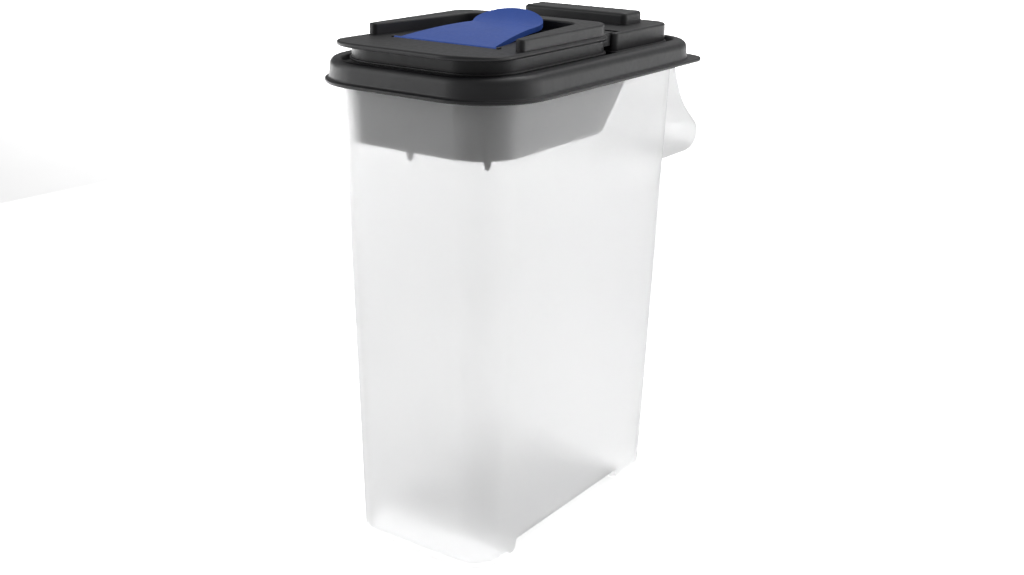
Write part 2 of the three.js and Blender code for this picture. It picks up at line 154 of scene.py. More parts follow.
# the pour cap
CAP_SKIN = 2.5
CAP_BOTTOM = 418.5
LIP_BOTTOM = 429.6
PLATE_TOP = 433.6
WALL_TOP = CAP.high
LIP_FLARE = 1.9
NECK = Plan(78.8, -143.5, 28, 38, 19)
PLATE = Plan(CAP.half, CAP.front, 30, 40, 20)
LIP_FLARE_START = -118
LIP_FLARE_LENGTH = 42
PLUG = Plan(63, -126, 19, 23, 21)
PLUG_WALL = 2.2
WELL = Plan(43, -36, 9.5, 16, 20)
WELL_FLOOR = 421.5
WELL_WALL = 2.2
HINGE_Y = (HINGE_PIN.front + HINGE_PIN.rear) / 2
HINGE_Z = (HINGE_PIN.low + HINGE_PIN.high) / 2
HINGE_PIN_RADIUS = (HINGE_PIN.high - HINGE_PIN.low) / 2
HINGE_X = 63
ARM_HALF = 7
KNUCKLE = 5.5
HINGE_PLAY = 0.3

# the lever
LEVER_HINGE_Y = (LEVER_PIN.front + LEVER_PIN.rear) / 2
LEVER_HINGE_Z = (LEVER_PIN.low + LEVER_PIN.high) / 2
LEVER_PIN_RADIUS = (LEVER_PIN.high - LEVER_PIN.low) / 2
LEVER_BARREL = 1.5
LEVER_THICKNESS = 4.2
LEVER_BODY_START = -97.4
LEVER_HINGE_HALF = 47.9
LEVER_WAIST_HALF = 32.5
LEVER_WAIST_Y = -20
LEVER_WAIST_Z = 440.2
LEVER_TAB_HALF = 34.4
LEVER_TAB_Y = -12.3
LEVER_FRONT_DROP = 6.6
LUG_INNER = 51.9
LEVER_PLAY = 0.25
LUG_OUTER = LEVER_PIN.half + 0.3
LUG_HALF_DEPTH = 2.2
LUG_TOP = 435
POCKET_GAP = 1.2
POCKET_WALL = 2
POCKET_FLOOR = 428.9
POCKET_REAR = -30
POCKET_FRONT = -101.5


# ---- outlines -----------------------------------------------------------------------------------

def between(a, b, t):
    return a + (b - a) * t


def smooth(t):
    t = min(max(t, 0), 1)
    return t * t * (3 - 2 * t)


def grow(plan, amount):
    return Plan(plan.half + amount, plan.front - amount, plan.rear + amount,
                max(plan.front_radius + amount, 0.3), max(plan.rear_radius + amount, 0.3))


def blend(a, b, t):
    return Plan(*(between(x, y, t) for x, y in zip(a, b)))


def tub_plan(z):
    """The tub's outer outline at a height."""
    return blend(TUB_BASE, TUB_MOUTH, z / MOUTH_HEIGHT)


def level(plan, z):
    """A plan's outline at one height, counter-clockwise from above."""
    corners = (
        (plan.half - plan.front_radius, plan.front + plan.front_radius, plan.front_radius, -90),
        (plan.half - plan.rear_radius, plan.rear - plan.rear_radius, plan.rear_radius, 0),
        (plan.rear_radius - plan.half, plan.rear - plan.rear_radius, plan.rear_radius, 90),
        (plan.front_radius - plan.half, plan.front + plan.front_radius, plan.front_radius, 180),
    )
    points = []
    for x, y, radius, start in corners:
        for step in range(CORNER_STEPS + 1):
            angle = math.radians(start + 90 * step / CORNER_STEPS)
            points.append((x + radius * math.cos(angle), y + radius * math.sin(angle), z))
    return points


def quarter(radius, steps=ROUND_STEPS):
    """Inset and drop of each point of a rounded edge, from the side face over to the level face."""
    turns = (math.pi / 2 * step / steps for step in range(steps + 1))
    return [(radius * (1 - math.cos(turn)), radius * (1 - math.sin(turn))) for turn in turns]


def rounded(corners, steps=6):
    """An outline through corners (a, b, radius), each replaced by an arc."""
    points = []
    for index, (a, b, radius) in enumerate(corners):
        here = Vector((a, b))
        before = (Vector(corners[index - 1][:2]) - here).normalized()
        after = (Vector(corners[(index + 1) % len(corners)][:2]) - here).normalized()
        half_angle = before.angle(after) / 2
        tangent = radius / math.tan(half_angle)
        start = here + before * tangent
        centre = here + (before + after).normalized() * radius / math.sin(half_angle)
        sweep = (start - centre).angle_signed(here + after * tangent - centre)
        for step in range(steps + 1):
            turn = Matrix.Rotation(-sweep * step / steps, 2)
            points.append(tuple(centre + turn @ (start - centre)))
    return points


def inset(points, amount):
    """A counter-clockwise outline moved inwards by an amount."""
    moved = []
    for index, point in enumerate(points):
        here = Vector(point)
        into = (here - Vector(points[index - 1])).normalized()
        out = (Vector(points[(index + 1) % len(points)]) - here).normalized()
        along = (into + out).normalized()
        across_it = Vector((-along.y, along.x))
        moved.append(tuple(here + across_it * amount / max(along.dot(into), 0.5)))
    return moved


# ---- meshes -------------------------------------------------------------------------------------

def place(point):
    """A point in the tub's own millimetres, as one in the frame's metres."""
    return (point[0] * MM, (point[1] + MOUTH_Y) * MM, point[2] * MM)


def mesh_object(name, points, faces):
    mesh = bpy.data.meshes.new(name)
    mesh.from_pydata([place(point) for point in points], [], faces)
    shape = bmesh.new()
    shape.from_mesh(mesh)
    bmesh.ops.remove_doubles(shape, verts=shape.verts, dist=0.002 * MM)
    bmesh.ops.recalc_face_normals(shape, faces=shape.faces)
    shape.to_mesh(mesh)
    shape.free()
    item = bpy.data.objects.new(name, mesh)
    bpy.context.scene.collection.objects.link(item)
    return item


def loft(name, rings, closed=False):
    """A skin over rings with equal counts of points: capped at both ends, or closed on itself."""
    count = len(rings[0])
    faces = []
    for low in range(len(rings) if closed else len(rings) - 1):
        high = (low + 1) % len(rings)
        for i in range(count):
            after = (i + 1) % count
            faces.append((low * count + i, low * count + after, high * count + after, high * count + i))
    if not closed:
        faces.append(tuple(reversed(range(count))))
        faces.append(tuple((len(rings) - 1) * count + i for i in range(count)))
    return mesh_object(name, [point for ring in rings for point in ring], faces)


def tower(name, sections):
    """A solid through level plans, each given as (z, plan)."""
    return loft(name, [level(plan, z) for z, plan in sections])


def prism(name, plan, low, high, top_round=0, bottom_round=0):
    sections = []
    if bottom_round:
        sections += [(low + drop, grow(plan, -move)) for move, drop in reversed(quarter(bottom_round))]
    else:
        sections.append((low, plan))
    if top_round:
        sections += [(high - drop, grow(plan, -move)) for move, drop in quarter(top_round)]
    else:
        sections.append((high, plan))
    return tower(name, sections)


def band(name, outer, width, low, high, edge=0.5):
    """A ring with rounded edges around a plan."""
    inner = grow(outer, -width)
    rings = [level(grow(outer, -move), low + drop) for move, drop in reversed(quarter(edge, 3))]
    rings += [level(grow(outer, -move), high - drop) for move, drop in quarter(edge, 3)]
    rings += [level(grow(inner, move), high - drop) for move, drop in reversed(quarter(edge, 3))]
    rings += [level(grow(inner, move), low + drop) for move, drop in quarter(edge, 3)]
    return loft(name, rings, closed=True)


def upright(name, points, low, high, top_round=0):
    """An outline of X and Y raised from low to high, with its top edge rounded."""
    rings = [[(x, y, low) for x, y in points]]
    for move, drop in quarter(top_round) if top_round else [(0, 0)]:
        rings.append([(x, y, high - drop) for x, y in inset(points, move)])
    return loft(name, rings)


def across(name, points, x_low, x_high):
    """An outline of Y and Z stretched along X."""
    return loft(name, [[(x, y, z) for y, z in points] for x in (x_low, x_high)])


def brick(name, x_low, x_high, y_low, y_high, z_low, z_high):
    corners = ((y_low, z_low), (y_high, z_low), (y_high, z_high), (y_low, z_high))
    return across(name, corners, x_low, x_high)


def rod(name, radius, x_low, x_high, y, z, chamfer=0, sides=40):
    """A round bar along X with chamfered ends."""
    stations = [(x_low, radius - chamfer), (x_high, radius - chamfer)]
    if chamfer:
        stations[1:1] = [(x_low + chamfer, radius), (x_high - chamfer, radius)]
    turns = [2 * math.pi * side / sides for side in range(sides)]
    rings = [[(x, y + r * math.cos(turn), z + r * math.sin(turn)) for turn in turns] for x, r in stations]
    return loft(name, rings)


def combine(target, tools, operation):
    for tool in tools:
        modifier = target.modifiers.new(operation, "BOOLEAN")
        modifier.operation = operation
        modifier.solver = "MANIFOLD"
        modifier.object = tool
        depsgraph = bpy.context.evaluated_depsgraph_get()
        mesh = bpy.data.meshes.new_from_object(target.evaluated_get(depsgraph))
        target.modifiers.clear()
        target.data = mesh
        bpy.data.objects.remove(tool)
    return target


def weld(target, *tools):
    return combine(target, tools, "UNION")


def carve(target, *tools):
    return combine(target, tools, "DIFFERENCE")


def keep_inside(target, tool):
    return combine(target, [tool], "INTERSECT")


def apply_modifiers(item):
    depsgraph = bpy.context.evaluated_depsgraph_get()
    mesh = bpy.data.meshes.new_from_object(item.evaluated_get(depsgraph))
    item.modifiers.clear()
    item.data = mesh


def soften(item, width, angle=40, segments=2):
    """Rounds every edge that turns by more than the angle."""
    bevel = item.modifiers.new("soften", "BEVEL")
    bevel.width = width * MM
    bevel.segments = segments
    bevel.limit_method = "ANGLE"
    bevel.angle_limit = math.radians(angle)
    bevel.use_clamp_overlap = True
    apply_modifiers(item)
    return item


def shade(item, sharp=38):
    for face in item.data.polygons:
        face.use_smooth = True
    item.data.set_sharp_from_angle(angle=math.radians(sharp))
    weighted = item.modifiers.new("weighted", "WEIGHTED_NORMAL")
    weighted.keep_sharp = True
    weighted.weight = 100
    return item


# ---- materials ----------------------------------------------------------------------------------

# most of a noise texture's values lie between these
NOISE_LOW = 0.3
NOISE_HIGH = 0.7


def new_material(name):
    material = bpy.data.materials.new(name)
    material.use_nodes = True
    tree = material.node_tree
    shader = tree.nodes["Principled BSDF"]
    coordinates = tree.nodes.new("ShaderNodeTexCoord")
    return material, tree, shader, coordinates.outputs["Object"]


def noise(tree, coordinates, scale, detail=3, stretch=(1, 1, 1)):
    mapping = tree.nodes.new("ShaderNodeMapping")
    mapping.inputs["Scale"].default_value = stretch
    tree.links.new(coordinates, mapping.inputs["Vector"])
    texture = tree.nodes.new("ShaderNodeTexNoise")
    texture.inputs["Scale"].default_value = scale
    texture.inputs["Detail"].default_value = detail
    tree.links.new(mapping.outputs["Vector"], texture.inputs["Vector"])
    return texture.outputs["Fac"]


def shades(tree, factor, dark, light, socket):
    """Colour that drifts between two close shades."""
    ramp = tree.nodes.new("ShaderNodeValToRGB")
    ramp.color_ramp.elements[0].position = NOISE_LOW
    ramp.color_ramp.elements[0].color = (*dark, 1)
    ramp.color_ramp.elements[1].position = NOISE_HIGH
    ramp.color_ramp.elements[1].color = (*light, 1)
    tree.links.new(factor, ramp.inputs["Fac"])
    tree.links.new(ramp.outputs["Color"], socket)


def vary(tree, factor, low, high, socket):
    """A value that drifts between two limits."""
    spread = tree.nodes.new("ShaderNodeMapRange")
    spread.inputs["From Min"].default_value = NOISE_LOW
    spread.inputs["From Max"].default_value = NOISE_HIGH
    spread.inputs["To Min"].default_value = low
    spread.inputs["To Max"].default_value = high
    tree.links.new(factor, spread.inputs["Value"])
    tree.links.new(spread.outputs["Result"], socket)


def bump(tree, height, depth, socket, under=None):
    """Relief of a depth in millimetres."""
    relief = tree.nodes.new("ShaderNodeBump")
    relief.inputs["Strength"].default_value = 1
    relief.inputs["Distance"].default_value = depth * MM
    tree.links.new(height, relief.inputs["Height"])
    if under is not None:
        tree.links.new(under, relief.inputs["Normal"])
    tree.links.new(relief.outputs["Normal"], socket)
    return relief.outputs["Normal"]


def translucent_plastic():
    """Milky polypropylene: light passes through it blurred."""
    material, tree, shader, spot = new_material("translucent_plastic")
    shader.inputs["Transmission Weight"].default_value = 0.85
    shader.inputs["IOR"].default_value = 1.35
    shades(tree, noise(tree, spot, 9), (0.946, 0.947, 0.949), (0.96, 0.961, 0.963),
           shader.inputs["Base Color"])
    vary(tree, noise(tree, spot, 30), 0.37, 0.45, shader.inputs["Roughness"])
    waves = bump(tree, noise(tree, spot, 22, 2), 0.12, shader.inputs["Normal"])
    bump(tree, noise(tree, spot, 1400, 2), 0.008, shader.inputs["Normal"], waves)
    return material


def textured_black(name, grain_depth, roughness, ior=1.5):
    """Moulded black plastic with a fine spark-eroded grain."""
    material, tree, shader, spot = new_material(name)
    shader.inputs["IOR"].default_value = ior
    shades(tree, noise(tree, spot, 60), (0.009, 0.009, 0.0105), (0.013, 0.013, 0.015),
           shader.inputs["Base Color"])
    vary(tree, noise(tree, spot, 240), roughness - 0.04, roughness + 0.04, shader.inputs["Roughness"])
    bump(tree, noise(tree, spot, 1500, 2), grain_depth, shader.inputs["Normal"])
    return material


def blue_plastic():
    """The lever's satin plastic."""
    material, tree, shader, spot = new_material("blue_plastic")
    shader.inputs["IOR"].default_value = 1.5
    shades(tree, noise(tree, spot, 45), (0.02, 0.083, 0.41), (0.025, 0.094, 0.45),
           shader.inputs["Base Color"])
    vary(tree, noise(tree, spot, 300), 0.44, 0.52, shader.inputs["Roughness"])
    bump(tree, noise(tree, spot, 1500, 2), 0.012, shader.inputs["Normal"])
    return material


def silicone():
    """Soft matte seal material."""
    material, tree, shader, spot = new_material("seal_silicone")
    shader.inputs["IOR"].default_value = 1.41
    shader.inputs["Sheen Weight"].default_value = 0.15
    shades(tree, noise(tree, spot, 80), (0.33, 0.34, 0.35), (0.38, 0.39, 0.4), shader.inputs["Base Color"])
    vary(tree, noise(tree, spot, 200), 0.55, 0.65, shader.inputs["Roughness"])
    bump(tree, noise(tree, spot, 900, 2), 0.01, shader.inputs["Normal"])
    return material


def drawn_steel():
    """Bright wire, with fine lines along its length."""
    material, tree, shader, spot = new_material("pin_steel")
    shader.inputs["Metallic"].default_value = 1
    lines = noise(tree, spot, 900, 3, (0.03, 1, 1))
    shades(tree, lines, (0.52, 0.53, 0.54), (0.64, 0.65, 0.66), shader.inputs["Base Color"])
    vary(tree, lines, 0.22, 0.36, shader.inputs["Roughness"])
    bump(tree, lines, 0.01, shader.inputs["Normal"])
    return material


# ---- the tub ------------------------------------------------------------------------------------

def arch_passage(extra):
    """The passage between the feet, made larger all round by extra."""
    foot_round = 5
    toe = 3.6
    top_round = 1.2
    below = -1.5
    front = ARCH_FRONT - extra
    rear = ARCH_REAR + extra
    top = ARCH_HEIGHT + extra
    corners = (
        (front - 5, below, SHARP), (rear + 5, below, SHARP), (rear + 4, -0.5, SHARP),
        (rear - 0.5, toe, foot_round), (rear - 2.5, top, top_round),
        (front + 2.5, top, top_round), (front + 0.5, toe, foot_round), (front - 4, -0.5, SHARP),
    )
    return across("arch_passage", rounded(corners), -TUB_MOUTH.half, TUB_MOUTH.half)


def grip_solid(move):
    """The grip's outer form, or with a move inwards the space inside it."""
    root_radius = 2
    low = GRIP_PROFILE[0][0] + move
    sections = []
    for z, rear in GRIP_PROFILE:
        if z >= low:
            plan = Plan(GRIP_HALF - move, GRIP_ROOT, rear - move, root_radius, GRIP_RADIUS - move)
            sections.append((z, plan))
    if move:
        sections.insert(0, (low, sections[0][1]))
    return tower("grip_solid", sections)


def make_tub():
    """Tapered walls with a beaded rim, the hollow grip and the arch between the feet."""
    rim_low = BIN.high - RIM_BEAD_HEIGHT
    foot = [(drop, grow(tub_plan(drop), -edge)) for edge, drop in reversed(quarter(FOOT_ROUND))]
    walls = [(z, tub_plan(z)) for z in range(TUB_STEP, int(rim_low), TUB_STEP)]
    bead = [(rim_low, tub_plan(rim_low)), (rim_low + RIM_BEAD, grow(tub_plan(rim_low), RIM_BEAD))]
    rim_top = tub_plan(BIN.high)
    rim = [(BIN.high - drop, grow(rim_top, RIM_BEAD - move)) for move, drop in quarter(RIM_ROUND, 3)]
    tub = tower("tub", foot + walls + bead + rim)
    floor = [
        (TUB_WALL + drop, grow(tub_plan(TUB_WALL + drop), -TUB_WALL - edge))
        for edge, drop in reversed(quarter(TUB_FLOOR_ROUND))
    ]
    heights = (*range(TUB_STEP, int(BIN.high), TUB_STEP), BIN.high + OVERRUN)
    inner_walls = [(z, grow(tub_plan(z), -TUB_WALL)) for z in heights]
    space = weld(tower("tub_space", floor + inner_walls), grip_solid(GRIP_WALL))
    carve(space, arch_passage(TUB_WALL))
    weld(tub, grip_solid(0))
    carve(tub, arch_passage(0), space)
    return shade(tub, 50)


# ---- the lid and what it carries ----------------------------------------------------------------

def make_lid():
    """One skin swept round: deck, recess wall, rounded shoulder, skirt, flange and the hollow below."""
    flange_top = LID.low + FLANGE_THICKNESS
    underside = DECK_TOP - LID_SKIN
    throat_round = 0.8
    recess_round = 1.6
    recess_draft = 0.6
    crest_round = 2.2
    skirt_draft = 0.8
    cove = 2.2
    edge = 1.1
    lead_in = 0.4
    hollow_draft = 1
    hollow_round = 1.4
    rings = [level(grow(THROAT, move), DECK_TOP - drop) for move, drop in quarter(throat_round, 3)]
    # the recess floor turns up into the shoulder's inner wall
    for move, drop in quarter(recess_round, 4)[::-1]:
        rings.append(level(grow(RECESS, -move), DECK_TOP + drop))
    for move, drop in quarter(crest_round):
        rings.append(level(grow(RECESS, recess_draft + move), LID.high - drop))
    for move, drop in quarter(SHOULDER_RADIUS, 8)[::-1]:
        rings.append(level(grow(SKIRT, -skirt_draft - move), LID.high - drop))
    # a small cove where the skirt meets the flange
    for move, drop in quarter(cove, 4):
        rings.append(level(grow(SKIRT, move), flange_top + drop))
    for move, drop in quarter(edge, 4)[::-1]:
        rings.append(level(grow(FLANGE, -move), flange_top - drop))
    for move, drop in quarter(edge, 4):
        rings.append(level(grow(FLANGE, -move), LID.low + drop))
    # the hollow below the skin
    rings.append(level(grow(SKIRT, lead_in - LID_SKIN), LID.low))
    rings.append(level(grow(SKIRT, -LID_SKIN), LID.low + lead_in))
    for move, drop in quarter(hollow_round, 3):
        rings.append(level(grow(SKIRT, -LID_SKIN - hollow_draft - move), underside - drop))
    rings.append(level(THROAT, underside))
    lid = loft("lid_shell", rings, closed=True)
    return shade(lid)


def make_lid_seal():
    lip_round = 0.9
    width = TUB_WALL + RIM_BEAD
    outer = grow(tub_plan(BIN.high), RIM_BEAD)
    seal = band("lid_gasket", outer, width, LID_SEAL.low, LID_SEAL.high, lip_round)
    return shade(seal)


def collar_prong(x, y, turn):
    """One pointed tooth under the collar's edge."""
    half_root = 3.5
    half_tip = 1.25
    tip_round = 0.6
    half_thick = 1
    corners = (
        (-half_root, OVERRUN, SHARP), (-half_tip, -PRONG_LENGTH, tip_round),
        (half_tip, -PRONG_LENGTH, tip_round), (half_root, OVERRUN, SHARP),
    )
    spin = Matrix.Rotation(turn, 2)
    rings = []
    for depth in (-half_thick, half_thick):
        ring = []
        for a, z in rounded(corners, 3):
            flat = spin @ Vector((a, depth))
            ring.append((x + flat.x, y + flat.y, COLLAR_LOW + z))
        rings.append(ring)
    return loft("collar_prong", rings)


def make_bag_collar():
    """The collar under the lid, with three teeth on its lower edge."""
    top = COLLAR.high
    inner_top = grow(COLLAR_TOP, -COLLAR_WALL)
    inner_bottom = grow(COLLAR_BOTTOM, -COLLAR_WALL)
    lip = 0.7
    flange_step = 0.2
    rings = [level(grow(COLLAR_BOTTOM, -move), COLLAR_LOW + drop) for move, drop in quarter(lip, 3)[::-1]]
    rings.append(level(COLLAR_TOP, top))
    rings.append(level(grow(COLLAR_TOP, -COLLAR_FLANGE), top))
    rings.append(level(grow(COLLAR_TOP, -COLLAR_FLANGE), top - COLLAR_FLANGE_THICKNESS))
    rings.append(level(grow(inner_top, -flange_step), top - COLLAR_FLANGE_THICKNESS))
    rings += [level(grow(inner_bottom, move), COLLAR_LOW + drop) for move, drop in quarter(lip, 3)]
    collar = loft("collar_shell", rings, closed=True)
    # seen from the side, the lower edge runs level and then sweeps up to the rear in two bends
    lower = COLLAR_LOW - 2 * OVERRUN
    upper = top + OVERRUN
    side_view = (
        (FLANGE.front, lower, SHARP), (12, lower, 22), (45.5, 391, 30),
        (64, upper, SHARP), (FLANGE.front, upper, SHARP),
    )
    keep_inside(collar, across("collar_side", rounded(side_view, 8), -FLANGE.half, FLANGE.half))
    middle = COLLAR_WALL / 2
    reach = (COLLAR_BOTTOM.front_radius - middle) * math.sqrt(0.5)
    corner_x = COLLAR_BOTTOM.half - COLLAR_BOTTOM.front_radius
    corner_y = COLLAR_BOTTOM.front + COLLAR_BOTTOM.front_radius
    weld(collar, collar_prong(0, COLLAR_BOTTOM.front + middle, 0))
    for side in (-1, 1):
        weld(collar, collar_prong(side * (corner_x + reach), corner_y - reach, side * math.pi / 4))
    return shade(collar)


def make_rear_block():
    """A hollow block with a raised bar, and a notch and a bore for each arm of the cap."""
    base = BLOCK.low
    hollow_top = BLOCK_TOP - BLOCK_SKIN
    foot_round = 0.7
    top_round = 1.8
    bar_round = 3
    foot = prism("block_foot", grow(BLOCK_PLAN, BLOCK_LEDGE), base, base + BLOCK_LEDGE_HEIGHT, foot_round)
    block = weld(prism("block_shell", BLOCK_PLAN, base, BLOCK_TOP, top_round), foot)
    weld(block, prism("block_bar", BAR_PLAN, hollow_top, BLOCK.high, bar_round))
    notch_half = ARM_HALF + NOTCH_GAP
    socket_half = notch_half + BLOCK_SKIN
    # each bore sits this much to the left of its socket, as in the CAD
    bore_shift = 0.2
    bar_hollow = prism("bar_hollow", grow(BAR_PLAN, -BLOCK_SKIN), hollow_top - OVERRUN,
                       BLOCK.high - BLOCK_SKIN)
    hollow = weld(prism("block_hollow", grow(BLOCK_PLAN, -BLOCK_SKIN), base - OVERRUN, hollow_top),
                  bar_hollow)
    for side in (-1, 1):
        x = side * HINGE_X
        carve(hollow, brick("socket", x - socket_half, x + socket_half, BLOCK_PLAN.front,
                            NOTCH_REAR + BLOCK_SKIN, base - OVERRUN, BLOCK_TOP))
    carve(block, hollow)
    for side in (-1, 1):
        x = side * HINGE_X
        carve(block,
              brick("notch", x - notch_half, x + notch_half, BLOCK_PLAN.front - 2 * OVERRUN, NOTCH_REAR,
                    NOTCH_FLOOR, BLOCK_TOP + OVERRUN),
              rod("bore", HINGE_PIN_RADIUS + HINGE_PLAY, x - socket_half - bore_shift,
                  x + socket_half - bore_shift, HINGE_Y, HINGE_Z))
    return shade(block)


def make_hinge_pin(side):
    chamfer = 0.4
    x = side * HINGE_X
    reach = HINGE_PIN.half - HINGE_X
    name = "hinge_wire_left" if side < 0 else "hinge_wire_right"
    pin = rod(name, HINGE_PIN_RADIUS, x - reach, x + reach, HINGE_Y, HINGE_Z, chamfer)
    return shade(pin)


# ---- the pour cap, its seal and its lever -------------------------------------------------------

def u_outline(move):
    """The raised wall on the cap: a U open to the front, moved in by an amount for the hollow below."""
    half = 78
    front = -101
    rear = 29.5
    end_round = 3.5
    corners = (
        (half, front, end_round), (half, rear, 19), (-half, rear, 19), (-half, front, end_round),
        (-70, front, end_round), (-62, -50, 90), (-56, 12, 14),
        (56, 12, 14), (62, -50, 90), (70, front, end_round),
    )
    return inset(rounded(corners, 8), move) if move else rounded(corners, 8)


def make_plate():
    """The cap's top plate, with a rounded lip that lifts a little along the front."""
    edge = 1.9
    margin = 20
    front_round = 30
    rings = [level(grow(PLATE, -move), LIP_BOTTOM + drop) for move, drop in quarter(edge)[::-1]]
    rings += [level(grow(PLATE, -move), PLATE_TOP - drop) for move, drop in quarter(edge)]
    # the level middle of the plate, behind the lifted lip
    inner = grow(PLATE, -margin)
    middle = Plan(inner.half, PLATE.front + LIP_FLARE_LENGTH, inner.rear, front_round, inner.rear_radius)
    rings.insert(0, level(middle, LIP_BOTTOM))
    rings.append(level(middle, PLATE_TOP))
    lifted = []
    for ring in rings:
        lifted.append([(x, y, z + LIP_FLARE * smooth((LIP_FLARE_START - y) / LIP_FLARE_LENGTH))
                       for x, y, z in ring])
    return loft("cap_plate", lifted)


def cap_arm(x):
    """One arm of the cap's hinge, with the knuckle at its end."""
    step = 0.4
    low = HINGE_Z - KNUCKLE + step
    high = PLATE_TOP - step
    arm = brick("cap_arm", x - ARM_HALF, x + ARM_HALF, NECK.rear - OVERRUN, HINGE_Y, low, high)
    weld(arm, rod("knuckle", KNUCKLE, x - ARM_HALF, x + ARM_HALF, HINGE_Y, HINGE_Z, step))
    return arm


def pocket_outline(front, extra):
    """The lever's pocket in the cap, with its sides moved out by extra."""
    front_half = lever_half_width(LEVER_HINGE_Y) + POCKET_GAP + extra
    rear_half = lever_half_width(POCKET_REAR) + POCKET_GAP + extra
    return ((-front_half, front), (front_half, front), (rear_half, POCKET_REAR), (-rear_half, POCKET_REAR))


def make_pour_cap():
    """Plate, neck, plug and raised wall, with the lever's pocket, the finger well, arms and lugs."""
    underside = PLATE_TOP - CAP_SKIN
    joined = PLATE_TOP - OVERRUN
    ledge_size = 1.8
    ledge_round = 0.8
    wall_round = 1.6
    plug_round = 0.8
    well_round = 3
    well_shell_round = 2
    lug_round = 0.8
    groove_play = 0.3
    cap = prism("cap_shell", NECK, CAP_BOTTOM, LIP_BOTTOM + OVERRUN)
    ledge = prism("cap_ledge", grow(NECK, ledge_size), CAP_BOTTOM, CAP_BOTTOM + ledge_size, ledge_round)
    weld(cap, ledge, make_plate(), upright("u_wall", u_outline(0), joined, WALL_TOP, wall_round))
    carve(cap,
          prism("neck_hollow", grow(NECK, -CAP_SKIN), CAP_BOTTOM - OVERRUN, underside),
          upright("u_hollow", u_outline(CAP_SKIN), underside - OVERRUN, WALL_TOP - CAP_SKIN))
    plug = prism("plug", PLUG, CAP.low, joined, 0, plug_round)
    carve(plug, prism("plug_space", grow(PLUG, -PLUG_WALL), CAP.low - OVERRUN, PLATE_TOP))
    weld(cap, plug,
         prism("well_shell", grow(WELL, WELL_WALL), WELL_FLOOR - WELL_WALL, joined, 0, well_shell_round),
         upright("pocket_shell", pocket_outline(POCKET_FRONT, POCKET_WALL), POCKET_FLOOR - POCKET_WALL,
                 joined))
    carve(cap,
          prism("well_space", WELL, WELL_FLOOR, PLATE_TOP + OVERRUN, 0, well_round),
          upright("pocket_space", pocket_outline(LEVER_HINGE_Y, 0), POCKET_FLOOR, PLATE_TOP + OVERRUN))
    lug_front = LEVER_HINGE_Y - LUG_HALF_DEPTH
    lug_rear = LEVER_HINGE_Y + LUG_HALF_DEPTH
    for side in (-1, 1):
        x = side * HINGE_X
        x_low, x_high = sorted((side * LUG_INNER, side * LUG_OUTER))
        lug = brick("lug", x_low, x_high, lug_front, lug_rear, joined, LUG_TOP)
        weld(cap, cap_arm(x), soften(lug, lug_round, angle=40, segments=3))
        carve(cap, rod("bore", HINGE_PIN_RADIUS + HINGE_PLAY, x - ARM_HALF - OVERRUN,
                       x + ARM_HALF + OVERRUN, HINGE_Y, HINGE_Z))
    bore_reach = LUG_OUTER + 0.3
    carve(cap,
          rod("groove", LEVER_BARREL + groove_play, -LUG_INNER, LUG_INNER, LEVER_HINGE_Y, LEVER_HINGE_Z),
          rod("bore", LEVER_PIN_RADIUS + LEVER_PLAY, -bore_reach, bore_reach, LEVER_HINGE_Y,
              LEVER_HINGE_Z))
    return shade(cap)


def make_pour_seal():
    """A soft ring with two rounded lips round the plug."""
    thickness = 2.2
    lip_depth = 0.9
    lip_steps = 8
    edge = 0.3
    past_plug = 2.5
    outer = Plan(POUR_SEAL.half, POUR_SEAL.front, POUR_SEAL.rear, PLUG.front_radius + past_plug,
                 PLUG.rear_radius + past_plug)
    middle = (POUR_SEAL.low + POUR_SEAL.high) / 2
    rings = []
    for low, high in ((POUR_SEAL.low, middle), (middle, POUR_SEAL.high)):
        for step in range(lip_steps + 1):
            turn = math.pi * step / lip_steps
            z = between(low, high, (1 - math.cos(turn)) / 2)
            rings.append(level(grow(outer, -lip_depth * (1 - math.sin(turn))), z))
    rings.append(level(grow(outer, -thickness), POUR_SEAL.high - edge))
    rings.append(level(grow(outer, -thickness), POUR_SEAL.low + edge))
    return shade(loft("plug_gasket", rings, closed=True))


def lever_half_width(y):
    """Half the lever's width: a straight taper to the waist, then a rounded tab."""
    if y > LEVER_TAB_Y:
        reach = min((y - LEVER_TAB_Y) / (LEVER.rear - LEVER_TAB_Y), 1)
        return LEVER_TAB_HALF * math.sqrt(1 - reach * reach)
    if y > LEVER_WAIST_Y:
        t = smooth((y - LEVER_WAIST_Y) / (LEVER_TAB_Y - LEVER_WAIST_Y))
        return between(LEVER_WAIST_HALF, LEVER_TAB_HALF, t)
    along = (y - LEVER_HINGE_Y) / (LEVER_WAIST_Y - LEVER_HINGE_Y)
    return between(LEVER_HINGE_HALF, LEVER_WAIST_HALF, along)


def lever_top(y):
    """The lever's top is gently crowned up to the waist, then its tab turns up."""
    tab_curve = 1.64
    front_curve = 1.74
    if y > LEVER_WAIST_Y:
        along = (y - LEVER_WAIST_Y) / (LEVER.rear - LEVER_WAIST_Y)
        return between(LEVER_WAIST_Z, LEVER.high, along ** tab_curve)
    back = (LEVER_WAIST_Y - y) / (LEVER_WAIST_Y - LEVER_HINGE_Y)
    return LEVER_WAIST_Z - LEVER_FRONT_DROP * back ** front_curve


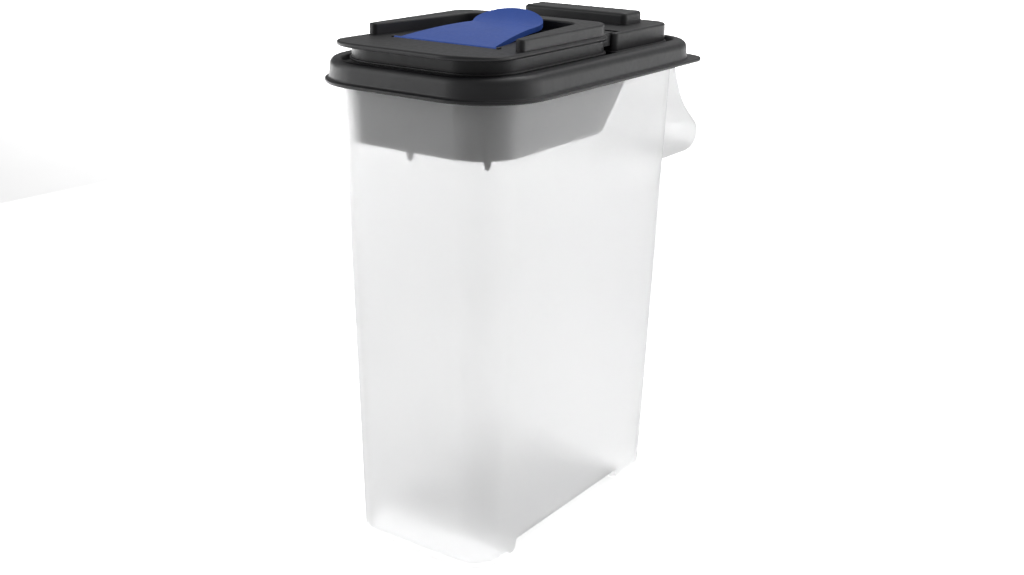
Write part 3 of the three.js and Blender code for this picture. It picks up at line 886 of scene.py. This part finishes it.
def make_lever():
    """A thin tongue on a round barrel, which turns on its pin."""
    rows = 64
    columns = 24
    least_half = 0.9
    edge = 0.7
    points = []
    for row in range(rows + 1):
        y = between(LEVER_BODY_START, LEVER.rear, math.sin(row / rows * math.pi / 2))
        half = max(lever_half_width(y), least_half)
        top = lever_top(y)
        for z in (top, top - LEVER_THICKNESS):
            for column in range(columns + 1):
                x = half * math.sin((column / columns - 0.5) * math.pi)
                points.append((x, y, z))
    wide = columns + 1
    faces = []
    for row in range(rows):
        here = row * 2 * wide
        after = (row + 1) * 2 * wide
        for column in range(columns):
            faces.append((here + column, here + column + 1, after + column + 1, after + column))
            low = here + wide
            low_after = after + wide
            faces.append((low + column, low_after + column, low_after + column + 1, low + column + 1))
        for column in (0, columns):
            faces.append((here + column, after + column, after + wide + column, here + wide + column))
    for start in (0, rows * 2 * wide):
        for column in range(columns):
            faces.append((start + column, start + column + 1, start + wide + column + 1,
                          start + wide + column))
    lever = soften(mesh_object("pull_lever", points, faces), edge, angle=55, segments=3)
    barrel_chamfer = 0.3
    weld(lever, rod("lever_barrel", LEVER_BARREL, -LEVER.half, LEVER.half, LEVER_HINGE_Y, LEVER_HINGE_Z,
                    barrel_chamfer))
    carve(lever, rod("bore", LEVER_PIN_RADIUS + LEVER_PLAY, -LUG_OUTER, LUG_OUTER, LEVER_HINGE_Y,
                     LEVER_HINGE_Z))
    return shade(lever)


def make_lever_pin():
    chamfer = 0.2
    sides = 24
    pin = rod("lever_wire", LEVER_PIN_RADIUS, -LEVER_PIN.half, LEVER_PIN.half, LEVER_HINGE_Y,
              LEVER_HINGE_Z, chamfer, sides)
    return shade(pin)


# ---- the studio ---------------------------------------------------------------------------------

def add_camera():
    """The photograph's viewing angle, aimed from the middle of the object's box."""
    azimuth, elevation, roll = (math.radians(angle) for angle in (35.32, 18.71, 0.68))
    distance = 1.2016
    move_right = -0.0138
    move_up = -0.0280
    back = Vector((math.sin(azimuth) * math.cos(elevation), -math.cos(azimuth) * math.cos(elevation),
                   math.sin(elevation)))
    level_right = Vector((math.cos(azimuth), math.sin(azimuth), 0))
    level_up = back.cross(level_right)
    right = level_right * math.cos(roll) + level_up * math.sin(roll)
    up = level_up * math.cos(roll) - level_right * math.sin(roll)
    centre = (Vector(cad_bounds[0]) + Vector(cad_bounds[1])) / 2
    where = centre + back * distance + level_right * move_right + level_up * move_up
    data = bpy.data.cameras.new("camera")
    data.lens = 46.27
    data.sensor_width = 36
    data.clip_end = 60
    camera = bpy.data.objects.new("camera", data)
    camera.matrix_world = Matrix.Translation(where) @ Matrix((right, up, back)).transposed().to_4x4()
    bpy.context.scene.collection.objects.link(camera)
    bpy.context.scene.camera = camera


def painted_glow_under_object(tree, spot, socket):
    """A painted pool of light that makes the floor glow: even close to the object, and fading out to
    nothing further off.
    """
    even_to = 0.3
    gone_by = 0.85
    strength = 0.54
    away = tree.nodes.new("ShaderNodeVectorMath")
    away.operation = "LENGTH"
    tree.links.new(spot, away.inputs[0])
    glow = tree.nodes.new("ShaderNodeMapRange")
    glow.interpolation_type = "SMOOTHSTEP"
    glow.inputs["From Min"].default_value = even_to
    glow.inputs["From Max"].default_value = gone_by
    glow.inputs["To Min"].default_value = strength
    glow.inputs["To Max"].default_value = 0
    tree.links.new(away.outputs["Value"], glow.inputs["Value"])
    tree.links.new(glow.outputs["Result"], socket)


def add_floor():
    """A pale floor under the object, with a painted glow of light in it around the object."""
    half_side = 14
    corners = [
        (-half_side, -half_side, 0), (half_side, -half_side, 0),
        (half_side, half_side, 0), (-half_side, half_side, 0),
    ]
    mesh = bpy.data.meshes.new("floor")
    mesh.from_pydata(corners, [], [(0, 1, 2, 3)])
    floor = bpy.data.objects.new("floor", mesh)
    bpy.context.scene.collection.objects.link(floor)
    material, tree, shader, spot = new_material("pale_floor_painted_glow")
    shades(tree, noise(tree, spot, 2), (0.88, 0.88, 0.88), (0.9, 0.9, 0.9), shader.inputs["Base Color"])
    shader.inputs["Roughness"].default_value = 0.9
    shader.inputs["Specular IOR Level"].default_value = 0.1
    shader.inputs["Emission Color"].default_value = (1, 1, 1, 1)
    # the floor's emission is painted light: a glowing pool round the object, though the floor is no lamp
    painted_glow_under_object(tree, spot, shader.inputs["Emission Strength"])
    mesh.materials.append(material)


def aim(item, where, target):
    item.location = where
    item.rotation_euler = (Vector(target) - Vector(where)).to_track_quat("-Z", "Y").to_euler()


def add_softbox(name, where, target, width, height, power, spread):
    """A rectangular studio light that the camera itself doesn't see."""
    light = bpy.data.lights.new(name, "AREA")
    light.shape = "RECTANGLE"
    light.size = width
    light.size_y = height
    light.energy = power
    light.spread = math.radians(spread)
    item = bpy.data.objects.new(name, light)
    item.visible_camera = False
    bpy.context.scene.collection.objects.link(item)
    aim(item, where, target)


def add_world(strength):
    world = bpy.data.worlds.new("studio")
    world.use_nodes = True
    background = world.node_tree.nodes["Background"]
    background.inputs["Color"].default_value = (1, 1, 1, 1)
    background.inputs["Strength"].default_value = strength
    bpy.context.scene.world = world


# ---- the scene ----------------------------------------------------------------------------------

add_camera()
add_floor()
add_world(strength=0.34)

# softbox, where it stands, what it faces, width, height, watts, spread in degrees
softboxes = (
    ("overhead", (0, 1.0, 2.3), (0, 1.0, 0), 2.4, 2.4, 6, 105),
    ("far_floor", (-1.3, 4.4, 3.4), (-1.3, 4.4, 0), 8, 5, 530, 95),
    ("left_softbox", (-1.3, -1.1, 0.75), (0, 0, 0.3), 1.2, 1.3, 10.6, 180),
    ("right_softbox", (1.5, 1.1, 0.8), (0, 0, 0.3), 1.2, 1.3, 7.8, 180),
    ("low_left", (-1.3, 0.1, 0.2), (0, 0, 0.2), 1.4, 0.36, 6, 180),
)
for softbox in softboxes:
    add_softbox(*softbox)

clear = translucent_plastic()
black = textured_black("black_plastic", 0.02, 0.46)
collar_black = textured_black("collar_plastic", 0.006, 0.24, 1.62)
blue = blue_plastic()
grey = silicone()
steel = drawn_steel()

# piece, CAD node that it stands for, body, material slot, material
pieces = (
    (make_tub(), "bin", "bin_body", "translucent_plastic", clear),
    (make_lid(), "lid", "lid_body", "black_plastic", black),
    (make_lid_seal(), "lid_seal", "lid_body", "seal", grey),
    (make_bag_collar(), "bag_collar", "lid_body", "collar_plastic", collar_black),
    (make_rear_block(), "rear_block", "lid_body", "black_plastic", black),
    (make_hinge_pin(-1), "hinge_pin_left", "lid_body", "pin_steel", steel),
    (make_hinge_pin(1), "hinge_pin_right", "lid_body", "pin_steel", steel),
    (make_pour_cap(), "pour_cap", "cap_body", "black_plastic", black),
    (make_pour_seal(), "pour_seal", "cap_body", "seal", grey),
    (make_lever_pin(), "lever_pin", "cap_body", "pin_steel", steel),
    (make_lever(), "lever", "lever_body", "blue_plastic", blue),
)
for piece, node, body, slot, material in pieces:
    piece.data.materials.clear()
    piece.data.materials.append(material)
    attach(piece, body)
    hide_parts(node)

bpy.context.scene.view_settings.view_transform = "Standard"
